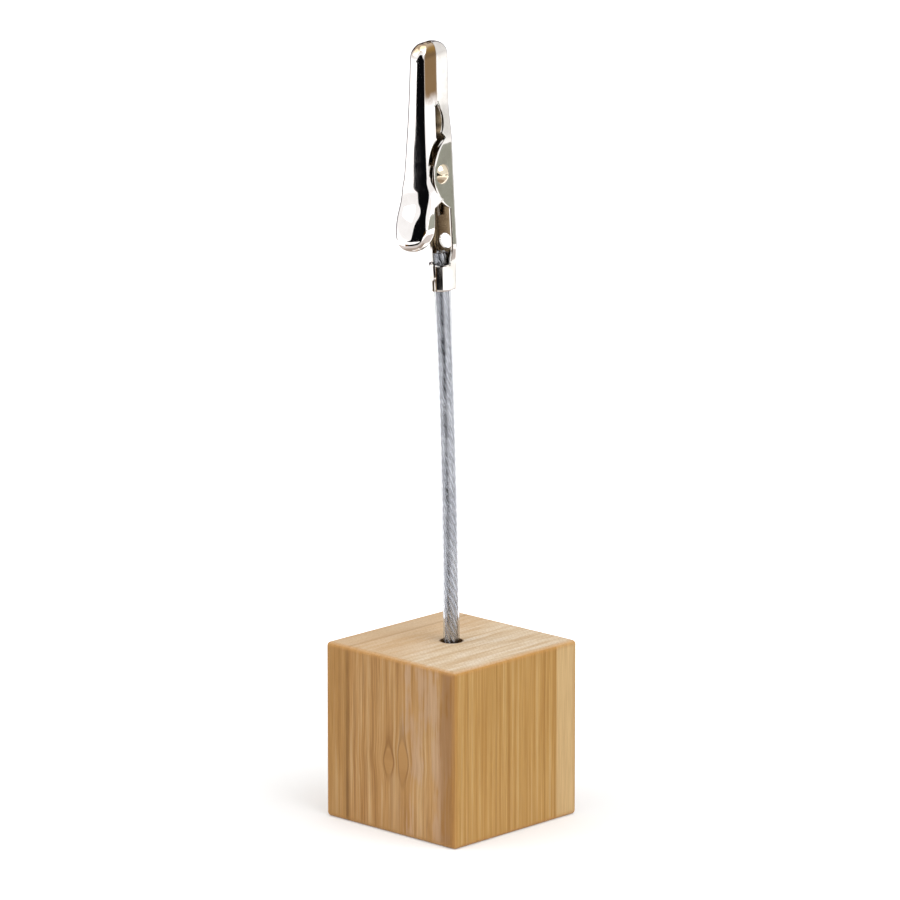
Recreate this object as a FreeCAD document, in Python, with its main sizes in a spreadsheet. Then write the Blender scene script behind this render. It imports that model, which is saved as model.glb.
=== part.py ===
import FreeCAD, Part

import math
import os

import Sketcher

# Memo clip holder: a bamboo cube, a bowed wire rope stem in a clear sleeve, and a sprung clip.
# Frame: millimetres, +Z up, origin at the centre of the cube's underside, cube faces along X and Y.
# The clip has a frame of its own: X is the way the lever opens, Y the pin, Z from tail to nose.

os.makedirs("parts", exist_ok=True)
Vector = FreeCAD.Vector
Rotation = FreeCAD.Rotation
Placement = FreeCAD.Placement

doc = FreeCAD.newDocument("MemoClipHolder")

# Driving dimensions: alias, value in millimetres or degrees, meaning
DIMENSIONS = (
    ("base_width", 30.0, "side of the square bamboo block"),
    ("base_height", 30.5, "height of the bamboo block"),
    ("base_edge_round", 0.7, "radius of the sanded edges of the block"),
    ("bore_depth", 14.0, "depth of the blind bore for the stem"),
    ("bore_gap", 0.5, "space for adhesive between stem and bore"),
    ("glue_recess", 2.5, "depth of the adhesive below the mouth of the bore"),
    ("rope_diameter", 1.5, "diameter of the steel rope over its strands"),
    ("rope_fit", 0.05, "space between rope and sleeve"),
    ("sleeve_wall", 0.6, "wall of the clear sleeve"),
    ("stem_rise", 61.0, "length of the bowed stretch between block and clip"),
    ("stem_foot_tilt", 0.6, "degrees that the stem leans where it leaves the block"),
    ("stem_top_tilt", 4.0, "degrees that the stem leans at the clip"),
    ("clip_turn", 5.5, "degrees that the clip is turned about the stem from the block's faces"),
    ("sheet", 0.45, "thickness of the folded steel sheet"),
    ("bend_round", 1.0, "outer radius of the long bends"),
    ("clip_length", 42.3, "from the lower edge of the crimp to the nose"),
    ("crimp_length", 4.5, "length of the crimp tabs"),
    ("crimp_side_fit", 0.15, "space between the sleeve and the crimp's flat sides"),
    ("crimp_bend", 0.65, "outer radius of the crimp's bends"),
    ("crimp_fit", 0.05, "space between sleeve and crimp"),
    ("crimp_seam", 0.5, "gap between the two crimp tabs"),
    ("stem_in_clip", 6.4, "length of stem inside the clip"),
    ("tail_wall", 1.4, "height of the low side walls of the tail"),
    ("tail_half", 2.55, "half width of the tail at its hole"),
    ("tail_hole", 2.6, "diameter of the hole in the tail"),
    ("tail_hole_gap", 0.25, "from the end of the stem to the edge of the hole"),
    ("pivot_along", 20.3, "from the lower edge of the crimp to the pin"),
    ("pivot_height", 1.65, "height of the pin over the stem's axis"),
    ("pin_diameter", 1.6, "shank of the rivet"),
    ("pin_fit", 0.05, "radial running fit of the rivet in the lever's lugs"),
    ("rivet_fit", 0.02, "radial fit of the rivet in the ears"),
    ("head_diameter", 3.3, "diameter of the domed rivet heads"),
    ("head_height", 0.75, "height of the domed rivet heads"),
    ("ear_half", 2.5, "half width of the lower jaw over its ears"),
    ("ear_flat_rear", 6.0, "how far the flat ears reach from the pin toward the tail"),
    ("ear_flat_front", 4.7, "how far the flat ears reach from the pin toward the nose"),
    ("ear_rise", 2.3, "top of the ears above the pin"),
    ("ear_round", 6.7, "radius of the top edge of the ears"),
    ("notch_height", 0.35, "height of the notch in front of the ears"),
    ("lug_fit", 0.2, "space between each lug and its ear"),
    ("lug_round", 1.9, "radius of the round end of the lugs"),
    ("grip_height", 1.45, "height of the meeting line of the jaws behind the nose"),
    ("grip_slope", 0.07, "fall of the meeting line per millimetre toward the nose"),
    ("grip_start", 32.2, "where the gripping edges begin"),
    ("grip_gap", 0.06, "space between the closed gripping edges"),
    ("scoop_sag", 1.1, "depth of the scoop in the lower jaw's edge"),
    ("peak_along", 27.2, "peak of the lower jaw's edge between notch and scoop"),
    ("peak_height", 1.15, "height of that peak"),
    ("lower_neck_half", 1.7, "half width of the lower jaw behind its gripping edges"),
    ("neck_drop", 0.41, "fall of the lower jaw's back from pin to gripping edges"),
    ("nose_drop", 0.75, "fall of the lower jaw's back from pin to nose"),
    ("nose_half", 1.62, "half width of both noses"),
    ("nose_tip_half", 0.68, "half width of the flat left at the tip of both noses"),
    ("nose_round", 2.6, "length of the rounded nose"),
    ("lower_nose_bend", 0.8, "outer radius of the lower jaw's bends along its gripping edges"),
    ("lower_tip_depth", 1.0, "back of the lower nose's tip from the meeting line"),
    ("lever_tip_height", 1.6, "back of the upper nose's tip from the meeting line"),
    ("lever_nose_back", 4.55, "height of the lever's back where the nose begins to round"),
    ("lever_slope", 0.1, "rise of the lever's back per millimetre toward the pad"),
    ("lever_neck_half", 1.85, "half width of the lever at the start of its gripping edges"),
    ("lever_pivot_half", 2.5, "half width of the lever at the pin"),
    ("lever_relief", 0.65, "rise of the lever's edge behind its gripping edge"),
    ("relief_step", 0.4, "length of the steps at both ends of that relief"),
    ("scallop_half", 5.0, "half length of the lever's scallop"),
    ("scallop_shift", 1.0, "middle of the scallop from the pin toward the nose"),
    ("scallop_tip", 0.7, "tips of the scallop above the pin"),
    ("scallop_round", 5.7, "radius of the lever's scallop"),
    ("side_fit", 0.1, "space between the lever's flared sides and the ears"),
    ("flare_lead", 0.5, "how far before the scallop's lower tip the sides have flared"),
    ("pad_half", 3.3, "half width of the thumb pad"),
    ("pad_tip_half", 1.15, "half width of the thumb pad at its rounded end"),
    ("pad_tip_bend", 0.8, "outer radius of the pad's bends at its rounded end"),
    ("pad_along", 11.4, "widest place of the thumb pad"),
    ("pad_end", 8.2, "lower end of the thumb pad"),
    ("pad_lift", 0.65, "extra rise of the pad above the line of the lever's back"),
    ("pad_depth", 3.3, "depth of the pad's side walls"),
    ("pad_drop", 0.9, "fall of the pad's back at its rounded end"),
    ("pad_edge_rise", 3.0, "rise of the pad's free edge at its rounded end"),
    ("pad_edge_round", 5.0, "radius of that rise"),
    ("pad_notch", 1.0, "length of the step between the scallop and the pad"),
    ("spring_wire", 0.6, "wire of the torsion spring"),
    ("spring_turns", 3.0, "turns of the torsion spring"),
    ("spring_fit", 0.2, "space between the spring's coil and the rivet"),
    ("spring_seat", 0.05, "space between the spring's legs and the jaws"),
    ("spring_reach", 8.0, "how far the spring's legs reach along the clip from the pin"),
    ("section_step", 2.65, "longest step between the cross-sections of the folded sheets"),
)

sheet = doc.addObject("Spreadsheet::Sheet", "Sizes")
for row, (alias, value, meaning) in enumerate(DIMENSIONS, start=1):
    sheet.set(f"A{row}", meaning)
    sheet.set(f"B{row}", str(value))
    sheet.setAlias(f"B{row}", alias)
doc.recompute()


class Size:
    """A length with the expression that works it out from the sheet."""

    def __init__(self, value, text):
        self.value = value
        self.text = text

    def __add__(self, other):
        other = as_size(other)
        return Size(self.value + other.value, f"({self.text} + {other.text})")

    def __sub__(self, other):
        other = as_size(other)
        return Size(self.value - other.value, f"({self.text} - {other.text})")

    def __mul__(self, other):
        other = as_size(other)
        return Size(self.value * other.value, f"({self.text} * {other.text})")

    def __truediv__(self, other):
        other = as_size(other)
        return Size(self.value / other.value, f"({self.text} / {other.text})")

    def __neg__(self):
        return Size(-self.value, f"(0 - {self.text})")


def as_size(number):
    """A plain number as a Size."""
    return number if isinstance(number, Size) else Size(float(number), repr(float(number)))


def root(square):
    """Square root of a Size."""
    return Size(math.sqrt(square.value), f"sqrt({square.text})")


def given(alias):
    """The Size of one cell of the sheet."""
    return Size(float(sheet.get(alias)), f"Sizes.{alias}")


def bind(item, **properties):
    """Ties properties of a document object to their sizes."""
    for name, size in properties.items():
        item.setExpression(name, as_size(size).text)
    return item


S = {alias: given(alias) for alias, value, meaning in DIMENSIONS}
V = {alias: size.value for alias, size in S.items()}

# Sizes that several pieces share
SLEEVE_RADIUS = S["rope_diameter"] / 2 + S["rope_fit"] + S["sleeve_wall"]
BORE_RADIUS = SLEEVE_RADIUS + S["bore_gap"]
CRIMP_RADIUS = SLEEVE_RADIUS + S["crimp_fit"] + S["sheet"]
CRIMP_HALF = SLEEVE_RADIUS + S["crimp_side_fit"] + S["sheet"]
FLOOR = -CRIMP_RADIUS
EAR_INNER = S["ear_half"] - S["sheet"]
LUG_OUTER = EAR_INNER - S["lug_fit"]
LUG_INNER = LUG_OUTER - S["sheet"]
TAIL_TOP = FLOOR + S["tail_wall"]
EAR_CENTRE = S["pivot_height"] + S["ear_rise"] - S["ear_round"]
HOLE_ALONG = S["stem_in_clip"] + S["tail_hole_gap"] + S["tail_hole"] / 2
NOSE_START = S["clip_length"] - S["nose_round"]

# Cutting forms reach CLEAR to the side of the clip and run PAST the ends of what they cut
CLEAR = 20.0
PAST = 1.0
HAIR = 0.05

# The rounded ends of the folded sheets: where their cross-sections stand, in degrees of an ellipse,
# and the largest bend as a share of the half width
ROUND_TURNS = (0.0, 30.0, 55.0, 75.0, 90.0)
BEND_SHARE = 0.9

SIDE_PLANE = Rotation(Vector(1, 0, 0), 90)


def tilt_vector(degrees):
    """Direction along the stem where it leans by an angle in the clip's plane."""
    return Vector(math.sin(math.radians(degrees)), 0, math.cos(math.radians(degrees)))


# Where the clip's plane stands: its X axis points to the front, turned by clip_turn
STEM_PLANE = Placement(Vector(0, 0, V["base_height"]), Rotation(Vector(0, 0, 1), V["clip_turn"] - 90))


def stem_points():
    """Foot, mouth, middle of the bow, start of the clip and end of the stem, in the clip's plane."""
    foot_way = tilt_vector(V["stem_foot_tilt"])
    top_way = tilt_vector(V["stem_top_tilt"])
    bend = math.radians(V["stem_top_tilt"] - V["stem_foot_tilt"])
    radius = V["stem_rise"] / bend
    mouth = Vector(0, 0, 0)
    foot = mouth - foot_way * V["bore_depth"]
    centre = mouth + Vector(foot_way.z, 0, -foot_way.x) * radius
    middle_tilt = (V["stem_top_tilt"] + V["stem_foot_tilt"]) / 2
    middle = centre - Vector(tilt_vector(middle_tilt).z, 0, -tilt_vector(middle_tilt).x) * radius
    crimp = centre - Vector(top_way.z, 0, -top_way.x) * radius
    end = crimp + top_way * V["stem_in_clip"]
    return foot, mouth, middle, crimp, end


FOOT, MOUTH, MIDDLE, CRIMP, STEM_END = stem_points()
CLIP = STEM_PLANE.multiply(Placement(CRIMP, Rotation(Vector(0, 1, 0), V["stem_top_tilt"])))
made = []


def keep(item, label):
    """Names a finished sub-part, which is written to its own file."""
    item.Label = label
    made.append(item)
    return item


def bamboo_block():
    """The block: a square pad with sanded edges and a blind bore for the stem."""
    body = doc.addObject("PartDesign::Body", "BaseBlock")
    plane = [item for item in body.Origin.OriginFeatures if item.Role == "XY_Plane"][0]
    square = body.newObject("Sketcher::SketchObject", "BaseSquare")
    square.AttachmentSupport = [(plane, "")]
    square.MapMode = "FlatFace"
    half = V["base_width"] / 2
    corners = [Vector(-half, -half, 0), Vector(half, -half, 0), Vector(half, half, 0), Vector(-half, half, 0)]
    for index, corner in enumerate(corners):
        square.addGeometry(Part.LineSegment(corner, corners[(index + 1) % 4]))
    for index in range(4):
        square.addConstraint(Sketcher.Constraint("Coincident", index, 2, (index + 1) % 4, 1))
    for index, kind in enumerate(("Horizontal", "Vertical", "Horizontal", "Vertical")):
        square.addConstraint(Sketcher.Constraint(kind, index))
    square.addConstraint(Sketcher.Constraint("Symmetric", 0, 1, 2, 1, -1, 1))
    width = square.addConstraint(Sketcher.Constraint("DistanceX", 0, 1, 0, 2, V["base_width"]))
    depth = square.addConstraint(Sketcher.Constraint("DistanceY", 1, 1, 1, 2, V["base_width"]))
    square.setExpression(f"Constraints[{width}]", S["base_width"].text)
    square.setExpression(f"Constraints[{depth}]", S["base_width"].text)
    block = body.newObject("PartDesign::Pad", "BasePad")
    block.Profile = square
    bind(block, Length=S["base_height"])
    doc.recompute()

    rounded = body.newObject("PartDesign::Fillet", "BaseEdges")
    names = [f"Edge{index + 1}" for index in range(len(block.Shape.Edges))]
    rounded.Base = (block, names)
    bind(rounded, Radius=S["base_edge_round"])
    body.Tip = rounded
    doc.recompute()

    mouth = body.newObject("Sketcher::SketchObject", "BoreCircle")
    mouth.AttachmentSupport = [(plane, "")]
    mouth.MapMode = "FlatFace"
    bind(mouth, **{"AttachmentOffset.Base.z": S["base_height"]})
    mouth.addGeometry(Part.Circle(Vector(0, 0, 0), Vector(0, 0, 1), BORE_RADIUS.value))
    mouth.addConstraint(Sketcher.Constraint("Coincident", 0, 3, -1, 1))
    radius = mouth.addConstraint(Sketcher.Constraint("Radius", 0, BORE_RADIUS.value))
    mouth.setExpression(f"Constraints[{radius}]", BORE_RADIUS.text)
    bore = body.newObject("PartDesign::Pocket", "Bore")
    bore.Profile = mouth
    bind(bore, Length=S["bore_depth"])
    body.Tip = bore
    doc.recompute()
    lost = rounded.Shape.Volume - bore.Shape.Volume
    assert abs(lost - math.pi * BORE_RADIUS.value ** 2 * V["bore_depth"]) < 1e-3 * lost
    return keep(body, "base_block")


def stem_spine(name, start_below=0.0):
    """The line through the middle of the stem: straight in the bore, bowed, straight in the clip."""
    foot_way = tilt_vector(V["stem_foot_tilt"])
    runs = [Part.makeLine(FOOT - foot_way * start_below, MOUTH)]
    runs.append(Part.Arc(MOUTH, MIDDLE, CRIMP).toShape())
    runs.append(Part.makeLine(CRIMP, STEM_END))
    spine = doc.addObject("Part::Feature", name)
    spine.Shape = Part.Wire(runs)
    return spine


def swept_round(name, spine, radius, start_below=0.0):
    """A round bar of one radius along the stem."""
    section = bind(doc.addObject("Part::Circle", name + "Section"), Radius=radius)
    foot_way = tilt_vector(V["stem_foot_tilt"])
    section.Placement = Placement(FOOT - foot_way * start_below, Rotation(Vector(0, 1, 0), V["stem_foot_tilt"]))
    bar = doc.addObject("Part::Sweep", name)
    bar.Sections = [section]
    bar.Spine = (spine, ["Edge1", "Edge2", "Edge3"])
    bar.Solid = True
    bar.Frenet = False
    return bar


def cut(name, base, tool):
    """One solid less another."""
    item = doc.addObject("Part::Cut", name)
    item.Base = base
    item.Tool = tool
    return item


def common(name, first, second):
    """What two solids share."""
    item = doc.addObject("Part::Common", name)
    item.Base = first
    item.Tool = second
    return item


def fuse(name, *items):
    """Several solids as one."""
    item = doc.addObject("Part::MultiFuse", name)
    item.Shapes = list(items)
    item.Refine = True
    return item


def stem():
    """The clear sleeve, the steel rope inside it and the adhesive round its foot."""
    spine = stem_spine("StemSpine")
    outer = swept_round("SleeveOuter", spine, SLEEVE_RADIUS)
    bore = swept_round("SleeveBore", spine, SLEEVE_RADIUS - S["sleeve_wall"])
    sleeve = cut("StemSleeve", outer, bore)
    sleeve.Placement = STEM_PLANE
    keep(sleeve, "stem_sleeve")

    rope = swept_round("WireRope", spine, S["rope_diameter"] / 2)
    rope.Placement = STEM_PLANE
    keep(rope, "wire_rope")

    plug = doc.addObject("Part::Cylinder", "GluePlug")
    bind(plug, Radius=BORE_RADIUS, Height=S["bore_depth"] - S["glue_recess"])
    plug.Placement = Placement(Vector(0, 0, -V["bore_depth"]), Rotation())
    passage = swept_round("GluePassage", stem_spine("GlueSpine", V["bore_depth"]), SLEEVE_RADIUS, V["bore_depth"])
    glue = cut("StemAdhesive", plug, passage)
    glue.Placement = STEM_PLANE
    keep(glue, "stem_adhesive")


def channel_section(name, along, half_width, back, front, bend):
    """One cross-section of a folded channel: two walls, two bends and a back, closed at the front."""
    inward = bend if back > front else -bend
    turn = inward * (1 - math.sqrt(0.5))
    side = bend * (1 - math.sqrt(0.5))
    low, high = -half_width, half_width
    wall_end = back - inward
    edges = [
        Part.makeLine(Vector(front, low, along), Vector(wall_end, low, along)),
        Part.Arc(
            Vector(wall_end, low, along),
            Vector(back - turn, low + side, along),
            Vector(back, low + bend, along),
        ).toShape(),
        Part.makeLine(Vector(back, low + bend, along), Vector(back, high - bend, along)),
        Part.Arc(
            Vector(back, high - bend, along),
            Vector(back - turn, high - side, along),
            Vector(wall_end, high, along),
        ).toShape(),
        Part.makeLine(Vector(wall_end, high, along), Vector(front, high, along)),
        Part.makeLine(Vector(front, high, along), Vector(front, low, along)),
    ]
    item = doc.addObject("Part::Feature", name)
    item.Shape = Part.Wire(edges)
    return item


def channel(name, stations, front, inset=0.0, shifts=(0.0, 0.0)):
    """A closed channel form lofted through stations of (along, half width, back, bend).

    An inset makes the inside of a folded sheet, and the shifts move its first and last ends.
    """
    first, last = stations[0][0], stations[-1][0]
    facing = 1 if stations[0][2] > front else -1
    sections = []
    for index, (along, half_width, back, bend) in enumerate(stations):
        share = (along - first) / (last - first)
        place = along + shifts[0] * (1 - share) + shifts[1] * share
        inner_bend = max(bend - inset, HAIR)
        section = channel_section(
            f"{name}Section{index}", place, half_width - inset, back - facing * inset, front, inner_bend
        )
        sections.append(section)
    loft = doc.addObject("Part::Loft", name)
    loft.Sections = sections
    loft.Solid = True
    loft.Ruled = True
    return loft


def gentle_slope(before, start, end, column):
    """Slope of a smooth curve at the middle of three stations, level where it would overshoot."""
    rise_in = start[column] - before[column]
    rise_out = end[column] - start[column]
    if rise_in * rise_out <= 0:
        return 0.0
    return (end[column] - before[column]) / (end[0] - before[0])


def smoothed(stations, longest):
    """The same stations with more between them, on a smooth curve, where they lie far apart."""
    rows = []
    for index, (start, end) in enumerate(zip(stations, stations[1:])):
        before = stations[max(index - 1, 0)]
        after = stations[min(index + 2, len(stations) - 1)]
        span = end[0] - start[0]
        count = math.ceil(span / longest)
        for step in range(count):
            share = step / count
            row = [start[0] + span * share]
            for column in range(1, len(start)):
                row.append(
                    start[column] * (1 - share) ** 2 * (1 + 2 * share)
                    + end[column] * share ** 2 * (3 - 2 * share)
                    + gentle_slope(before, start, end, column) * span * share * (1 - share) ** 2
                    - gentle_slope(start, end, after, column) * span * share ** 2 * (1 - share)
                )
            rows.append(tuple(row))
    rows.append(stations[-1])
    return rows


def draw_outline(sketch, corners):
    """Closed outline from corners of (x, y, radius of the arc to the next corner or None for a line).

    An arc bulges to the right of the way it is drawn, and to the left where its radius is negative.
    """
    points = [Vector(x.value, y.value, 0) for x, y, radius in corners]
    starts = []
    for index, (x, y, radius) in enumerate(corners):
        start = points[index]
        end = points[(index + 1) % len(points)]
        if radius is None:
            sketch.addGeometry(Part.LineSegment(start, end))
            starts.append(1)
            continue
        chord = end - start
        sag = abs(radius.value) - math.sqrt(radius.value ** 2 - chord.Length ** 2 / 4)
        across = Vector(chord.y, -chord.x, 0).normalize()
        middle = (start + end) * 0.5 + across * math.copysign(sag, radius.value)
        if radius.value > 0:
            sketch.addGeometry(Part.Arc(start, middle, end))
            starts.append(1)
            size = radius
        else:
            sketch.addGeometry(Part.Arc(end, middle, start))
            starts.append(2)
            size = -radius
        number = sketch.addConstraint(Sketcher.Constraint("Radius", index, size.value))
        sketch.setExpression(f"Constraints[{number}]", size.text)
    for index, (x, y, radius) in enumerate(corners):
        for kind, size in (("DistanceX", x), ("DistanceY", y)):
            number = sketch.addConstraint(Sketcher.Constraint(kind, index, starts[index], size.value))
            sketch.setExpression(f"Constraints[{number}]", size.text)
        after = (index + 1) % len(corners)
        sketch.addConstraint(Sketcher.Constraint("Coincident", index, 3 - starts[index], after, starts[after]))
    return sketch


def side_outline(name, corners):
    """A sketch in the clip's side view, from corners of (along, height, radius or None)."""
    sketch = doc.addObject("Sketcher::SketchObject", name)
    sketch.Placement = Placement(Vector(0, 0, 0), SIDE_PLANE)
    return draw_outline(sketch, [(as_size(height), as_size(along), radius) for along, height, radius in corners])


def slab(name, sketch, near, far):
    """A side view outline as a slab between two distances along the pin."""
    item = doc.addObject("Part::Extrusion", name)
    item.Base = sketch
    item.DirMode = "Custom"
    item.Dir = Vector(0, 1, 0)
    item.Solid = True
    bind(item, LengthFwd=far, LengthRev=-as_size(near))
    return item


def pin_cylinder(name, radius, half_length):
    """A cylinder on the pin's axis."""
    item = bind(doc.addObject("Part::Cylinder", name), Radius=radius, Height=half_length * 2)
    place = Vector(V["pivot_height"], half_length.value, V["pivot_along"])
    item.Placement = Placement(place, Rotation(Vector(1, 0, 0), 90))
    return item


def blend_round(full, tip, turn):
    """A value on an elliptic round, full at 0 degrees and tip at 90."""
    return tip + (full - tip) * math.cos(math.radians(turn))


def nose_stations(full_back, tip_back, bend):
    """Stations of a rounded nose."""
    rows = []
    for turn in ROUND_TURNS:
        along = V["clip_length"] - V["nose_round"] * (1 - math.sin(math.radians(turn)))
        half = blend_round(V["nose_half"], V["nose_tip_half"], turn)
        back = blend_round(full_back, tip_back, turn)
        rows.append((along, half, back, min(bend, BEND_SHARE * half)))
    return rows


def grip_line(along):
    """Height of the meeting line of the closed jaws."""
    return V["grip_height"] - V["grip_slope"] * (along - V["grip_start"])


def lower_stations():
    """Half width, back and bend of the lower jaw from its crimp to its nose."""
    floor = FLOOR.value
    bend = V["bend_round"]
    nose_bend = V["lower_nose_bend"]
    rows = [
        (0.0, CRIMP_HALF.value, floor, V["crimp_bend"]),
        (V["crimp_length"], CRIMP_HALF.value, floor, V["crimp_bend"]),
        (HOLE_ALONG.value, V["tail_half"], floor, bend),
        (V["pivot_along"] - V["ear_flat_rear"], V["ear_half"], floor, bend),
        (V["pivot_along"] + V["ear_flat_front"], V["ear_half"], floor, bend),
        (V["grip_start"], V["lower_neck_half"], floor - V["neck_drop"], nose_bend),
    ]
    tip_back = grip_line(V["clip_length"]) - V["lower_tip_depth"]
    rows += nose_stations(floor - V["nose_drop"], tip_back, nose_bend)
    return smoothed(rows, V["section_step"])


def ear_reach(height):
    """How far along the clip from the pin the round edge of the ears comes down to a height."""
    rise = as_size(height) - EAR_CENTRE
    return root(S["ear_round"] * S["ear_round"] - rise * rise)


def lower_jaw():
    """Crimp, tail with hole, ears and lower nose, folded from one sheet."""
    stations = lower_stations()
    outer = channel("LowerOuter", stations, CLEAR)
    inner = channel("LowerInner", stations, CLEAR + PAST, V["sheet"], (-PAST, -V["sheet"]))
    shell = cut("LowerChannel", outer, inner)

    below = FLOOR - S["nose_drop"] - PAST
    past_nose = S["clip_length"] + PAST
    notch = S["notch_height"]
    scoop_half = (S["grip_start"] - S["peak_along"]) / 2
    scoop = (scoop_half * scoop_half + S["scoop_sag"] * S["scoop_sag"]) / (S["scoop_sag"] * 2)
    grip_start = S["grip_height"] - S["grip_gap"] / 2
    grip_end = grip_start - S["grip_slope"] * (past_nose - S["grip_start"])
    outline = side_outline("LowerOutline", [
        (-PAST, below, None),
        (-PAST, 0, None),
        (S["crimp_length"], 0, None),
        (HOLE_ALONG - S["tail_hole"] / 2, TAIL_TOP, None),
        (S["pivot_along"] - ear_reach(TAIL_TOP), TAIL_TOP, S["ear_round"]),
        (S["pivot_along"] + ear_reach(notch), notch, None),
        (S["peak_along"], S["peak_height"], -scoop),
        (S["grip_start"], grip_start, None),
        (past_nose, grip_end, None),
        (past_nose, below, None),
    ])
    walls = common("LowerWalls", shell, slab("LowerSlab", outline, -CLEAR, CLEAR))

    tab_bend = BEND_SHARE * CRIMP_RADIUS.value
    tab_stations = [
        (0.0, CRIMP_HALF.value, CRIMP_RADIUS.value, tab_bend),
        (V["crimp_length"], CRIMP_HALF.value, CRIMP_RADIUS.value, tab_bend),
    ]
    tabs = channel("TabsOuter", tab_stations, 0.0)
    room = channel("TabsInner", tab_stations, -PAST, V["sheet"], (-PAST, PAST))
    seam = bind(
        doc.addObject("Part::Box", "CrimpSeam"),
        Length=CRIMP_RADIUS * 2,
        Width=S["crimp_seam"],
        Height=S["crimp_length"] + 2 * PAST,
    )
    seam.Placement = Placement(Vector(0, -V["crimp_seam"] / 2, -PAST), Rotation())
    folded = cut("CrimpFolded", cut("CrimpRing", tabs, room), seam)
    whole = fuse("LowerWhole", walls, folded)

    hole = bind(doc.addObject("Part::Cylinder", "TailHole"), Radius=S["tail_hole"] / 2, Height=S["tail_wall"] * 2)
    hole.Placement = Placement(
        Vector(FLOOR.value - V["tail_wall"], 0, HOLE_ALONG.value), Rotation(Vector(0, 1, 0), 90)
    )
    pin_hole = pin_cylinder("EarHoles", S["pin_diameter"] / 2 + S["rivet_fit"], S["ear_half"] * 2)
    jaw = cut("LowerJaw", cut("LowerHoled", whole, hole), pin_hole)
    jaw.Placement = CLIP
    keep(jaw, "lower_jaw")


def lever_back(along):
    """Height of the lever's back before the pad lifts."""
    return V["lever_nose_back"] + V["lever_slope"] * (NOSE_START.value - along)


def lever_stations():
    """Half width, back and bend of the lever from its thumb pad to its nose."""
    bend = V["bend_round"]
    rows = []
    pad_back = lever_back(V["pad_along"]) + V["pad_lift"]
    for turn in reversed(ROUND_TURNS):
        along = V["pad_along"] - (V["pad_along"] - V["pad_end"]) * math.sin(math.radians(turn))
        half = blend_round(V["pad_half"], V["pad_tip_half"], turn)
        back = blend_round(pad_back, pad_back - V["pad_drop"], turn)
        rows.append((along, half, back, min(blend_round(bend, V["pad_tip_bend"], turn), BEND_SHARE * half)))
    outside_ears = V["ear_half"] + V["side_fit"] + V["sheet"]
    flare = V["pivot_along"] + V["scallop_shift"] - V["scallop_half"]
    rows += [
        (flare + V["flare_lead"], outside_ears, lever_back(flare), bend),
        (V["pivot_along"], V["lever_pivot_half"], lever_back(V["pivot_along"]), bend),
        (V["grip_start"], V["lever_neck_half"], lever_back(V["grip_start"]), bend),
    ]
    rows += nose_stations(V["lever_nose_back"], grip_line(V["clip_length"]) + V["lever_tip_height"], bend)
    return smoothed(rows, V["section_step"])


def lever_jaw():
    """Thumb pad, scalloped sides, upper nose and the two lugs that hang on the rivet."""
    stations = lever_stations()
    closed_ends = (V["sheet"], -V["sheet"])
    outer = channel("LeverOuter", stations, -CLEAR)
    inner = channel("LeverInner", stations, -CLEAR - PAST, V["sheet"], closed_ends)
    shell = cut("LeverChannel", outer, inner)

    past_nose = S["clip_length"] + PAST
    grip_start = S["grip_height"] + S["grip_gap"] / 2
    grip_end = grip_start - S["grip_slope"] * (past_nose - S["grip_start"])
    front_tip = S["pivot_along"] + S["scallop_shift"] + S["scallop_half"]
    rear_tip = S["pivot_along"] + S["scallop_shift"] - S["scallop_half"]
    tip_height = S["pivot_height"] + S["scallop_tip"]
    relief = grip_start + S["lever_relief"]
    relief_end = relief + S["grip_slope"] * (S["grip_start"] - front_tip)
    pad_back = S["lever_nose_back"] + S["lever_slope"] * (NOSE_START - S["pad_along"]) + S["pad_lift"]
    pad_edge = pad_back - S["pad_depth"]
    outline = side_outline("LeverOutline", [
        (past_nose, CLEAR, None),
        (past_nose, grip_end, None),
        (S["grip_start"], grip_start, None),
        (S["grip_start"] - S["relief_step"], relief, None),
        (front_tip + S["relief_step"], relief_end, None),
        (front_tip, tip_height, -S["scallop_round"]),
        (rear_tip, tip_height, None),
        (rear_tip - S["pad_notch"], pad_edge, None),
        (S["pad_along"], pad_edge, S["pad_edge_round"]),
        (S["pad_end"] - PAST, pad_edge + S["pad_edge_rise"], None),
        (S["pad_end"] - PAST, CLEAR, None),
    ])
    walls = common("LeverWalls", shell, slab("LeverSlab", outline, -CLEAR, CLEAR))

    lugs = []
    for name, near in (("Right", LUG_INNER), ("Left", -LUG_OUTER)):
        plate = bind(
            doc.addObject("Part::Box", f"Lug{name}Plate"), Length=CLEAR, Width=S["sheet"], Height=S["lug_round"] * 2
        )
        plate.Placement = Placement(
            Vector(V["pivot_height"], near.value, V["pivot_along"] - V["lug_round"]), Rotation()
        )
        disc = bind(doc.addObject("Part::Cylinder", f"Lug{name}Disc"), Radius=S["lug_round"], Height=S["sheet"])
        disc.Placement = Placement(
            Vector(V["pivot_height"], near.value + V["sheet"], V["pivot_along"]), Rotation(Vector(1, 0, 0), 90)
        )
        lugs.append(fuse(f"Lug{name}", plate, disc))
    lug_limit = channel("LugLimit", stations, -CLEAR, V["sheet"] / 2, closed_ends)
    inside = common("LugsInside", fuse("Lugs", *lugs), lug_limit)
    whole = fuse("LeverWhole", walls, inside)
    pin_hole = pin_cylinder("LugHoles", S["pin_diameter"] / 2 + S["pin_fit"], S["ear_half"] * 2)
    jaw = cut("LeverJaw", whole, pin_hole)
    jaw.Placement = CLIP
    keep(jaw, "lever_jaw")


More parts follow.
